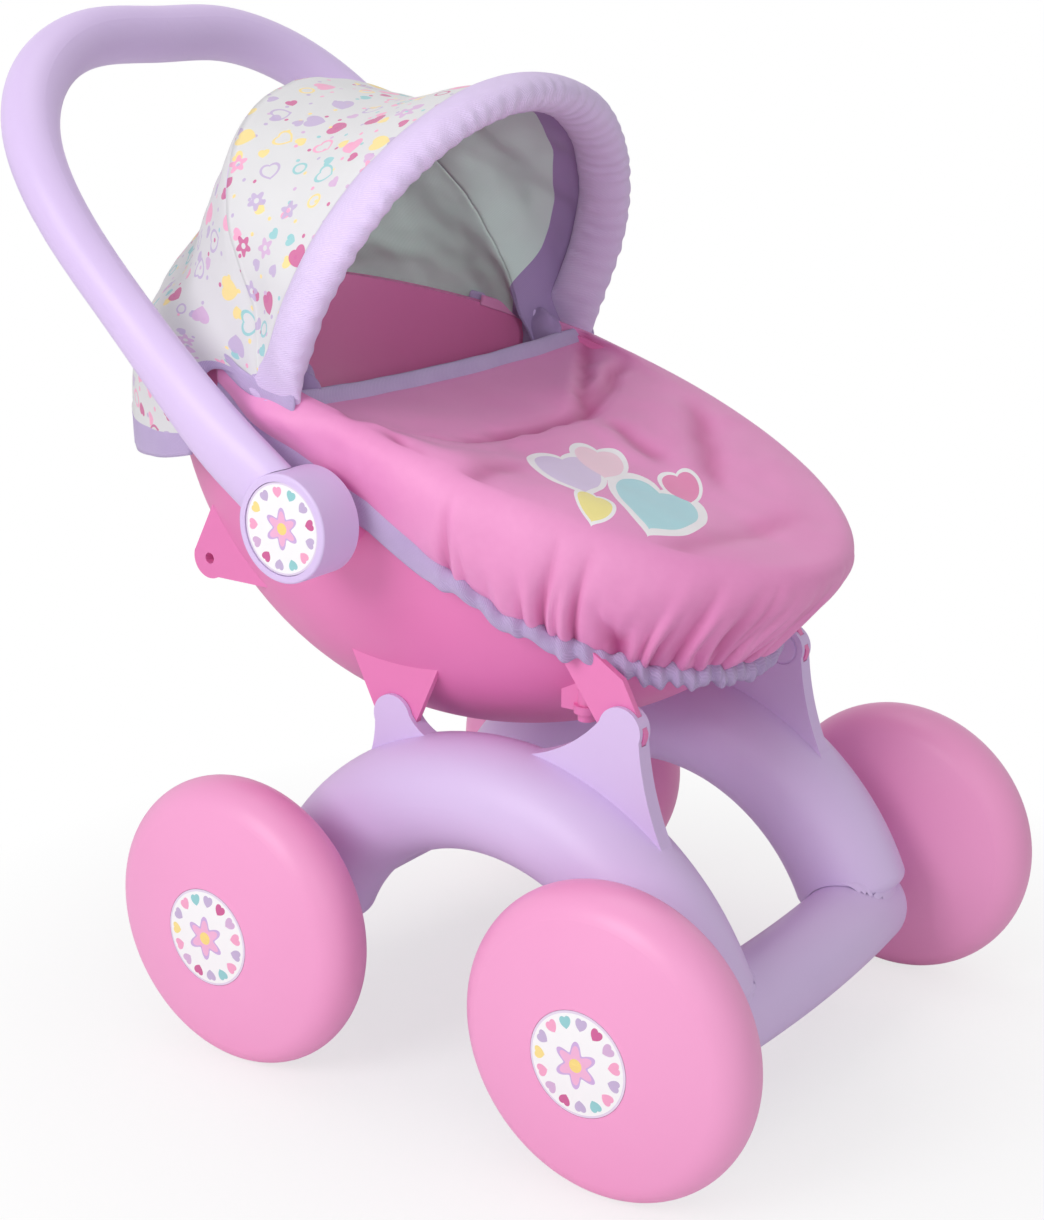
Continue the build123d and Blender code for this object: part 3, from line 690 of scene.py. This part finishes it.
def crease_fill(name, node_names, material):
    """A smoothed skin over joined mouldings, of which only what fills their creases is kept."""
    joined = bmesh.new()
    for node_name in node_names:
        joined.from_mesh(nodes[node_name].data)
    bmesh.ops.remove_doubles(joined, verts=joined.verts, dist=1e-5)
    surface = BVHTree.FromBMesh(joined)
    skin = object_from(name, joined, [material])
    remesh = skin.modifiers.new("skin", "REMESH")
    remesh.mode = "VOXEL"
    remesh.voxel_size = FILL_CELL * MM
    settle(skin)
    form = bmesh.new()
    form.from_mesh(skin.data)
    away = [vert for vert in form.verts if not by_crease(vert.co)]
    bmesh.ops.delete(form, geom=away, context="VERTS")
    every_way = {"use_axis_x": True, "use_axis_y": True, "use_axis_z": True}
    for _ in range(FILL_ROUNDS):
        bmesh.ops.smooth_vert(form, verts=form.verts, factor=0.5, **every_way)
    proud = set()
    for vert in form.verts:
        place, normal, _, _ = surface.find_nearest(vert.co)
        if (vert.co - place).dot(normal) > FILL_PROUD * MM:
            proud.add(vert)
    kept = {other for vert in proud for edge in vert.link_edges for other in edge.verts}
    flush = [vert for vert in form.verts if vert not in kept]
    bmesh.ops.delete(form, geom=flush, context="VERTS")
    for face in form.faces:
        face.smooth = True
    form.to_mesh(skin.data)
    form.free()
    return skin


frame_tubes = ["side_arch_left", "side_arch_right", "front_crossbar", "rear_crossbar"]
leg_fills = crease_fill("leg_fills", frame_tubes, lilac_plastic)
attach(leg_fills, "chassis")


# Hood: printed cloth outside, plain lining inside, lilac tape along its lower edges

HOOD_MIDDLE = Vector((0.0, 101.0, 370.0)) * MM
HOOD_COLUMNS = 120
TAPE_COLUMNS = 3

# Lean of the rear hem at the back, and how much more it is at the sides
HEM_LEAN = 102.0
HEM_SIDE_LEAN = 17.0

# Printed cloth: half width at its foot, unevenness, how far its tape stands out, thickness
HOOD_FLARE = 122.5
HOOD_CRUMPLE = 1.2
TAPE_LIFT = 0.8
PRINT_THICKNESS = 1.0

# Lining: distance under the printed cloth, unevenness, thickness, and the depth and reach in degrees of
# its pocket round the rear hoop
LINING_GAP = 2.6
LINING_CRUMPLE = 3.6
LINING_THICKNESS = 0.5
POCKET_DEPTH = 11.5
POCKET_REACH = 13.0


def seam_lean(share):
    """Lean of the seam over the rear hoop, the same all along it."""
    return REAR_LEAN


def hem_lean(share):
    """Lean of the rear hem: further round at the sides, so that the hem hangs level."""
    return HEM_LEAN + HEM_SIDE_LEAN * share * share


def hood_panel(name, start, end, rows, hem_rows):
    """Printed cloth between two leans, with a tape along its free edges."""

    def on_tape(column, row):
        return min(column, HOOD_COLUMNS - column) <= TAPE_COLUMNS or row >= rows - hem_rows

    def place(u, v):
        share = u * 2 - 1
        lift = TAPE_LIFT if on_tape(u * HOOD_COLUMNS, v * rows) else 0.0
        return hood_point(share, between(start, end(share), v), lift, HOOD_CRUMPLE, HOOD_FLARE)

    panel = cloth_piece(name, HOOD_COLUMNS, rows, place, [hood_print, trim_tape])
    face_out(panel, HOOD_MIDDLE)
    for index, polygon in enumerate(panel.data.polygons):
        row, column = divmod(index, HOOD_COLUMNS)
        if on_tape(column + 0.5, row + 0.5):
            polygon.material_index = 1
    thicken(panel, PRINT_THICKNESS)
    return panel


def hood_lining_panel(name, start, end, rows, hem_gap):
    """Lining under a panel, held off it and let down round the rear hoop. Each point keeps its distance
    behind the front hoop's plane."""

    def place(u, v):
        lean = between(start, end(u * 2 - 1) - hem_gap, v)
        close = exp(-(((lean - REAR_LEAN) / POCKET_REACH) ** 2))
        share = (u * 2 - 1) * (0.985 + 0.075 * close)
        return hood_point(share, lean, -LINING_GAP - POCKET_DEPTH * close, LINING_CRUMPLE)

    panel = cloth_piece(name, HOOD_COLUMNS, rows, place, [hood_lining])
    face_out(panel, HOOD_MIDDLE)
    behind = panel.data.attributes.new("behind", "FLOAT", "POINT")
    turn = radians(FRONT_LEAN)
    for index, vert in enumerate(panel.data.vertices):
        back, up = vert.co.y / MM - CANOPY_AXIS[0], vert.co.z / MM - CANOPY_AXIS[1]
        behind.data[index].value = back * cos(turn) - up * sin(turn)
    thicken(panel, LINING_THICKNESS)
    return panel


hood_front = hood_panel("hood_front_cloth", FRONT_LEAN, seam_lean, rows=34, hem_rows=0)
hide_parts("canopy_front_panel")
front_lining = hood_lining_panel("hood_front_lining", FRONT_LEAN, seam_lean, rows=34, hem_gap=0.0)
for piece in (hood_front, front_lining):
    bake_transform(piece)
hood_rear = hood_panel("hood_rear_cloth", REAR_LEAN, hem_lean, rows=64, hem_rows=6)
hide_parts("canopy_rear_panel")
rear_lining = hood_lining_panel("hood_rear_lining", REAR_LEAN, hem_lean, rows=64, hem_gap=1.5)
for piece in (hood_rear, rear_lining):
    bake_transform(piece)


# Sleeve at its crown and at its ends: half breadth, half thickness, tilt in degrees
SLEEVE_CROWN = (14.0, 9.3, 30.0)
SLEEVE_END = (16.5, 3.4, -2.0)


def sleeve_point(u, v):
    """Padded sleeve: an oval band flared outward at the front, crinkled inside its bend and flat at its
    sewn ends."""
    share = between(-1.0, 1.0, u)
    x, height = arch_point(FRONT_HOOP, share)
    ahead = arch_point(FRONT_HOOP, min(share + 1e-3, 1.0))
    behind = arch_point(FRONT_HOOP, max(share - 1e-3, -1.0))
    along = Vector((ahead[0] - behind[0], ahead[1] - behind[1])).normalized()
    end = ease((abs(share) - 0.84) / 0.15)
    close = sqrt(max(1 - max((abs(share) - 0.98) / 0.02, 0.0) ** 2, 0.0))
    breadth, thickness, tilt = (between(*pair, end) for pair in zip(SLEEVE_CROWN, SLEEVE_END))
    tilt = radians(tilt)
    turn = (v % 1.0) * 2 * pi
    inner = ease(0.45 - 0.6 * sin(turn - 0.5))
    pucker = sin(share * 150 + 3.0 * ripple(share * 9, 5.0))
    crinkle = ripple(share * 52, turn * 0.6, 3.1) + 0.7 * pucker
    soft = ripple(share * 8, cos(turn), sin(turn))
    swell = (1 + 0.05 * soft + 0.045 * inner * crinkle * (1 - end)) * close
    broad = breadth * cos(turn) * swell
    thin = thickness * sin(turn) * swell
    outward = broad * sin(tilt) + thin * cos(tilt)
    back = thin * sin(tilt) - broad * cos(tilt)
    return hoop_place(x - along.y * outward, height + along.x * outward, FRONT_LEAN, back)


sleeve = cloth_piece("hood_sleeve", 340, 44, sleeve_point, [sleeve_twill], wrap=True)
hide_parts("canopy_sleeve")
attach(sleeve, "front_hoop")


# Cover of the rear hoop's left eye: middle and half sizes
COVER_MIDDLE = (101.5, 101.0, 337.0)
COVER_SIZE = (6.5, 12.5, 14.5)


def eye_cover(u, v):
    """Gathered end of the rear hoop's casing, closed round the hoop's left eye."""
    turn, slope = u * 2 * pi, pi * (v - 0.5)
    gathers = 0.1 * sin(5 * turn + 2 * sin(3 * slope)) * cos(slope)
    swell = 1 + gathers + 0.06 * ripple(3 * cos(turn), 3 * sin(turn), slope)
    ring = cos(slope) * swell
    reach = (sin(slope), ring * cos(turn), ring * sin(turn))
    return Vector([middle + size * share for middle, size, share in zip(COVER_MIDDLE, COVER_SIZE, reach)])


for piece in both_sides("hoop_eye_cover", 48, 24, eye_cover, hood_lining):
    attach(piece, "rear_hoop")


# Apron over the foot end

# Tub's egg form: height and y of its widest place, depth below it, half width, its reach to the nose and to
# the head end, and the flare of its wall over the wall's height above the widest place
DECK_HEIGHT = 334.0
DECK_Y = 72.0
EGG_DEPTH = 180.0
EGG_HALF_WIDTH = 118.0
EGG_NOSE = 219.0
EGG_HEAD = 181.0
WALL_FLARE = 0.02
WALL_HEIGHT = 56.0


def egg_point(theta, z, grow):
    """Point of the tub's egg form at a height: theta 0 at the nose, negative to the right."""
    level = max((DECK_HEIGHT - z) / (EGG_DEPTH + grow), 0.0)
    share = sqrt(1 - level**2) if z < DECK_HEIGHT else 1 + WALL_FLARE * (z - DECK_HEIGHT) / WALL_HEIGHT
    nose, head = (EGG_NOSE + grow) * share, (EGG_HEAD + grow) * share
    middle = DECK_Y + (head - nose) / 2
    x = (EGG_HALF_WIDTH + grow) * share * sin(theta)
    return Vector((x, middle - (nose + head) / 2 * cos(theta), z))


def egg_outward(theta):
    """Level direction out of the tub's wall."""
    half_length = (EGG_NOSE + EGG_HEAD) / 2
    return Vector((sin(theta) / EGG_HALF_WIDTH, -cos(theta) / half_length, 0.0)).normalized()


# Tub's rim line: height at y 0, slope there, and bend
RIM_LEVEL = 310.6
RIM_SLOPE = 0.3185
RIM_BEND = 0.000233


def rim_height(y):
    """Height of the tub's rim line, a shallow arc rising to the head end."""
    return RIM_LEVEL + RIM_SLOPE * y - RIM_BEND * y * y


# Apron's hem seen from the side: y and height, from the nose to behind the hubs
HEM_LINE = [
    (-110, 203),
    (-88, 211),
    (-68, 217),
    (-49, 228),
    (-23, 241),
    (16, 270),
    (45, 291),
    (88, 311),
    (150, 336),
]


def hem_height(y):
    """Height of the apron's hem at a y."""
    for (y0, z0), (y1, z1) in zip(HEM_LINE, HEM_LINE[1:]):
        if y <= y1:
            return between(z0, z1, (y - y0) / (y1 - y0))
    return HEM_LINE[-1][1]


@lru_cache(None)
def on_line(theta, grow, hem):
    """Where the egg form meets the rim line, or the apron's hem line, found by halved steps."""
    z = DECK_HEIGHT - 44.0
    for _ in range(60):
        y = egg_point(theta, z, grow).y
        z = between(z, hem_height(y) if hem else rim_height(y), 0.5)
    return egg_point(theta, z, grow)


# Apron: angle from the nose to each end, share of its rows above the rim, thickness, distance from the
# tub's wall at the rim and at the hem
APRON_SWEEP = radians(117.0)
APRON_SPLIT = 0.58
APRON_COLUMNS = 460
APRON_ROWS = 80
APRON_THICKNESS = 0.8
RIM_GAP = 2.4
HEM_GAP = 2.6

# Apron's straight top edge: y, height of its ends, how much lower its middle is, and its half length
TOP_Y = 87.0
TOP_HEIGHT = 335.0
TOP_FALL = 3.5
TOP_REACH = 120.0

# Angles from the nose where the elastic ends, and over which its gathers run out
GATHER_END = radians(81)
GATHER_FADE = radians(9)

# Gathers, fine ones by the hem and broad ones from the rim: height, and turn to the radian
FINE_PLEAT = (3.0, 36)
BROAD_PLEAT = (2.6, 13)


def gather(theta):
    """How strongly the hem's elastic gathers the cloth, 0 at the flat tape by the hubs."""
    return ease((GATHER_END - abs(theta)) / GATHER_FADE)


def pleat(theta, drop):
    """Fold height of the gathers at a share of the drop to the hem: round ridges, sharp valleys."""
    sway = 1.3 * ripple(theta * 5.0, drop * 1.2, 2.0) + 0.4 * ripple(theta * 14.0, 7.0)
    fine = 2 * abs(sin(theta * FINE_PLEAT[1] + 2.6 * sway)) - 1.2
    broad = 2 * abs(sin(theta * BROAD_PLEAT[1] + 1.8 * sway + 1.0)) - 1.2
    by_hem = FINE_PLEAT[0] * fine * ease((drop - 0.42) / 0.5)
    from_rim = BROAD_PLEAT[0] * broad * ease((drop - 0.08) / 0.7)
    return gather(theta) * (by_hem + from_rim)


def top_fall(x):
    """How much lower the apron's top edge is than at its ends."""
    return TOP_FALL * (1 - (x / TOP_REACH) ** 2)


# Folds pressed into the apron's top: from (x, y) to (x, y), depth, width
FOLDS = [
    ((-117, 60), (-74, 27), 2.0, 4.0),
    ((-74, 27), (31, 28), 3.4, 4.2),
    ((119, 82), (33, 28), 3.0, 4.5),
    ((104, 49), (34, 26), 2.6, 4.5),
    ((-114, 37), (-124, 7), 2.2, 3.6),
    ((-117, 16), (-148, -30), 2.8, 3.6),
    ((88, -7), (26, -57), 2.2, 7.0),
    ((-71, -6), (-145, -11), 1.8, 6.0),
    ((38, 12), (22, -26), 2.0, 6.0),
    ((-83, -92), (26, -99), 1.6, 8.0),
]


def fold_lines(spot):
    """Each fold's depth at a point of the apron's top, and how many widths off the fold the point is."""
    for start, end, depth, width in FOLDS:
        run = Vector((end[0] - start[0], end[1] - start[1]))
        reach = Vector((spot.x - start[0], spot.y - start[1]))
        share = reach.dot(run) / run.length_squared
        wander = 2.0 * ripple(spot.x / 14, spot.y / 14, depth)
        off = (reach.cross(run) / run.length + wander) / width
        yield depth * ease((share + 0.2) / 0.4) * ease((1.2 - share) / 0.4), off


def crease(spot):
    """Height of the folds and slack in the apron's top."""
    height = ripple(spot.x / 46, spot.y / 34, 1.0) * 2.4 + ripple(spot.x / 17, spot.y / 13, 4.0) * 0.6
    for depth, off in fold_lines(spot):
        height += 1.2 * depth * (0.6 * exp(-(((off - 1.9) / 1.2) ** 2)) - exp(-off * off))
    return height


def apron_point(u, v):
    """Point of the apron: from its top edge, or inside the rim at its ends, over the rim to its hem."""
    theta = between(-APRON_SWEEP, APRON_SWEEP, u)
    rim = on_line(theta, RIM_GAP, False)
    hem = on_line(theta, HEM_GAP, True)
    outward = egg_outward(theta)
    crest = rim + Vector((0, 0, 4.0)) - outward * 3.0
    straight = Vector((rim.x * 0.985, TOP_Y, TOP_HEIGHT - top_fall(rim.x)))
    tucked = crest - outward * 4.0 - Vector((0, 0, 5.0))
    flap = ease((abs(theta) - radians(96)) / radians(8))
    top = between(straight, tucked, flap)
    roll = (outward - Vector((0, 0, 0.45))).normalized()
    length = (crest - top).length
    if v <= APRON_SPLIT:
        share = v / APRON_SPLIT
        sag = Vector((0, 0, 1.5 + 0.005 * length)) * (1 - flap)
        spot = bezier(
            top,
            between(top, crest, 0.3) - sag,
            crest - Vector((roll.x, roll.y, -0.05)) * (0.3 * length) + Vector((0, 0, 0.06 * length)),
            crest,
            share,
        )
        spread = ease(share * 4) * ease((1 - share) * 3 + 0.35) * min(length / 45, 1.0)
        spot.z += crease(spot) * spread
        return spot
    share = (v - APRON_SPLIT) / (1 - APRON_SPLIT)
    hang = (hem - crest).length
    spot = bezier(
        crest,
        crest + roll * (0.34 * hang),
        hem + outward * (0.22 * hang) + Vector((0, 0, 0.3 * hang)),
        hem + outward * 1.5,
        share,
    )
    soft = ripple(theta * 9, share * 2.0, 8.0) * 2.0 * ease(share * 2) * ease((1 - share) * 2)
    bulge = gather(theta) * 3.0 * ease(share * 1.6) * ease((1 - share) * 5 + 0.4)
    beside_eye = (abs(theta) - radians(103)) / radians(7)
    over_eye = 7.5 * exp(-(beside_eye**2) - ((spot.z - 330) / 11) ** 2)
    lift = pleat(theta, share) * ease((1 - share) * 6 + 0.35) + bulge + soft * (1 - flap) + over_eye
    return spot + outward * lift


# Depths that count as full in the shade of the folds and of the gathers
FULL_FOLD = max(depth for _, _, depth, _ in FOLDS)
FULL_PLEAT = 6.0


def fold_shade(place, u, v):
    """How deep a point of the apron lies in a fold, from 0 to 1: the share of painted shade there."""
    if v <= APRON_SPLIT:
        depths = [depth * exp(-1.4 * off * off) for depth, off in fold_lines(place / MM)]
        return min(sum(depths) / FULL_FOLD, 1.0)
    theta = between(-APRON_SWEEP, APRON_SWEEP, u)
    drop = (v - APRON_SPLIT) / (1 - APRON_SPLIT)
    return min(max(-pleat(theta, drop) / FULL_PLEAT, 0.0), 1.0)


apron = cloth_piece("apron_cloth", APRON_COLUMNS, APRON_ROWS, apron_point, [apron_satin])
# Each point's fold depth darkens the satin there as painted shade
painted_fold_shade = apron.data.attributes.new("painted_fold_shade", "FLOAT", "POINT")
for index, vert in enumerate(apron.data.vertices):
    row, column = divmod(index, APRON_COLUMNS + 1)
    painted_fold_shade.data[index].value = fold_shade(vert.co, column / APRON_COLUMNS, row / APRON_ROWS)
face_out(apron, Vector((0.0, 0.0, 250.0)) * MM)
thicken(apron, APRON_THICKNESS)
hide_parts("apron_cover")
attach(apron, "chassis")


def hem_band(u, v):
    """Tape along the apron's hem: flat by the hubs, ruffled round elastic at the nose."""
    theta = between(-APRON_SWEEP, APRON_SWEEP, u)
    outward = egg_outward(theta)
    spot = apron_point(u, 1.0)
    ruffle = gather(theta)
    turn = (v % 1.0) * 2 * pi
    lump = sin(theta * 84 + 0.5 * sin(turn) + 1.2 * ripple(theta * 18, 1.0))
    width = between(1.2, 4.6, ruffle) * (1 + 0.26 * ruffle * lump)
    height = between(8.0, 5.6, ruffle) * (1 + 0.16 * ruffle * lump)
    sway = ruffle * 1.5 * sin(theta * 34 + 2 * ripple(theta * 15, 6.0))
    rise = between(-3.0, -0.5, ruffle) + sway
    middle = spot + outward * (1.2 + 0.4 * ruffle) + Vector((0, 0, rise))
    return middle + outward * (width * cos(turn)) + Vector((0, 0, height * sin(turn)))


hem_tape = cloth_piece("apron_hem_tape", 720, 14, hem_band, [trim_tape], wrap=True)
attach(hem_tape, "chassis")


def top_band(u, v):
    """Tape folded over the apron's straight top edge, standing up a little."""
    x = between(-119.0, 119.0, u)
    turn = (v % 1.0) * 2 * pi
    height = TOP_HEIGHT + 1.5 - top_fall(x) + 0.8 * ripple(x / 26, 4.0)
    middle = Vector((x, TOP_Y + ripple(x / 30, 2.0), height))
    return middle + Vector((0, 2.0 * cos(turn) + 2.2 * sin(turn), 4.8 * sin(turn) - 0.6 * cos(turn)))


top_tape = cloth_piece("apron_top_tape", 110, 16, top_band, [trim_tape], wrap=True)
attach(top_tape, "chassis")


def side_band(u, v):
    """Tape along the tub's left rim from the apron's top tape to the hood's rear edge, outside the foot of
    the sleeve."""
    theta = radians(between(98.0, 120.0, u))
    stand_off = 4.5 + 4.5 * ease((radians(116) - theta) / radians(9))
    rim = on_line(theta, stand_off, False)
    close = min(1.0, sqrt(u * 30), sqrt((1 - u) * 30))
    turn = (v % 1.0) * 2 * pi
    outward = egg_outward(theta)
    rise = 3.5 * ease((92 - rim.y) / 10) - 1.5
    lift = 5.0 * close * sin(turn) + rise + 0.5 * ripple(u * 5, 3.0)
    return rim + outward * (1.1 * close * cos(turn)) + Vector((0, 0, lift))


side_tapes = both_sides("hood_side_tape", 60, 14, side_band, trim_tape)
for piece in side_tapes:
    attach(piece, "chassis")


# Floor, light and camera, in metres

# The floor takes the object's shadow and, for the camera, is mixed with plain white: by the least share up
# to the near distance, then more over the fade
FLOOR_NEAR = 0.12
FLOOR_FADE = 0.3
FLOOR_WHITE = 0.62

floor_form = bmesh.new()
bmesh.ops.create_circle(floor_form, cap_ends=True, segments=64, radius=6.0)
floor_material, floor_paint = new_material("pale_floor")
floor_x, floor_y, _ = object_place(floor_paint).parts()
far = ((floor_x * floor_x + floor_y * floor_y) ** 0.5 - FLOOR_NEAR) / FLOOR_FADE
white = far.node("Clamp", {0: far}) * (1 - FLOOR_WHITE) + FLOOR_WHITE
seen = floor_paint.node("LightPath", out=0)
glow = floor_paint.node("Emission", {"Color": (1, 1, 1, 1), "Strength": 1.0})
matte = floor_paint.node("BsdfDiffuse", {"Color": colour(250, 250, 250)})
finish = floor_paint.node("MixShader", {0: white * seen, 1: matte, 2: glow})
floor_tree = floor_material.node_tree
output = next(node for node in floor_tree.nodes if node.type == "OUTPUT_MATERIAL")
floor_tree.links.new(finish.socket, output.inputs["Surface"])
floor = object_from("floor", floor_form, [floor_material])
floor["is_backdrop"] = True

# Strength of the room's light on the object; the camera and glosses see the room plain white
ROOM_LIGHT = 0.46
world = bpy.data.worlds.new("studio")
bpy.context.scene.world = world
world.use_nodes = True
sky = Shade(world.node_tree)
in_view = sky.node("LightPath", out=0)
reflected = sky.node("LightPath", out=3)
through = sky.node("LightPath", out=6)
shown = (in_view + reflected + through).math("MINIMUM", 1.0)
strength = shown * (1 - ROOM_LIGHT) + ROOM_LIGHT
backdrop = next(node for node in world.node_tree.nodes if node.type == "BACKGROUND")
backdrop.inputs["Color"].default_value = (1, 1, 1, 1)
world.node_tree.links.new(strength.socket, backdrop.inputs["Strength"])


def hang(name, fitting, place, view):
    """Put a lamp or camera in its place, looking along a direction."""
    holder = bpy.data.objects.new(name, fitting)
    holder.location = place
    holder.rotation_euler = view.to_track_quat("-Z", "Y").to_euler()
    bpy.context.scene.collection.objects.link(holder)
    return holder


def softbox(name, place, aim, size, power):
    """A round soft lamp, aimed at a point."""
    lamp = bpy.data.lights.new(name, "AREA")
    lamp.shape = "DISK"
    lamp.size = size
    lamp.energy = power
    hang(name, lamp, place, Vector(aim) - Vector(place))


softbox("key_light", (-1.7, 0.25, 1.1), (0, 0, 0.25), size=1.0, power=15.0)
softbox("fill_light", (-0.9, -0.9, 0.75), (0, 0, 0.3), size=0.8, power=1.5)
softbox("top_light", (0.1, 0.3, 1.8), (0, 0, 0.3), size=1.2, power=4.5)

# A narrow lamp by the camera that reaches into the hood
HOOD_LAMP_PLACE = (-0.8, -0.7, 0.6)
HOOD_LAMP_AIM = (0.03, 0.16, 0.39)
hood_lamp = bpy.data.lights.new("hood_lamp", "SPOT")
hood_lamp.energy = 14.0
hood_lamp.spot_size = radians(14.0)
hood_lamp.spot_blend = 1.0
hood_lamp.shadow_soft_size = 0.08
hang("hood_lamp", hood_lamp, HOOD_LAMP_PLACE, Vector(HOOD_LAMP_AIM) - Vector(HOOD_LAMP_PLACE))

# The photo's camera: place, directions, focal length and picture height in pixels, sensor in millimetres
CAMERA_PLACE = (-0.865125, -0.57465, 0.530625)
AZIMUTH = radians(-54.517)
ELEVATION = radians(16.633)
FOCAL_PIXELS = 2136.459
PICTURE_PIXELS = 1220
SENSOR = 36.0

photo_camera = bpy.data.cameras.new("photo_camera")
photo_camera.lens = SENSOR * FOCAL_PIXELS / PICTURE_PIXELS
photo_camera.sensor_width = SENSOR
view = Vector((-sin(AZIMUTH) * cos(ELEVATION), cos(AZIMUTH) * cos(ELEVATION), -sin(ELEVATION)))
bpy.context.scene.camera = hang("photo_camera", photo_camera, CAMERA_PLACE, view)
bpy.context.scene.view_settings.view_transform = "Standard"

boxes = {"cad": cad_box, "visual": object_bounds()}
{key: [list(corner) for corner in box] for key, box in boxes.items()}
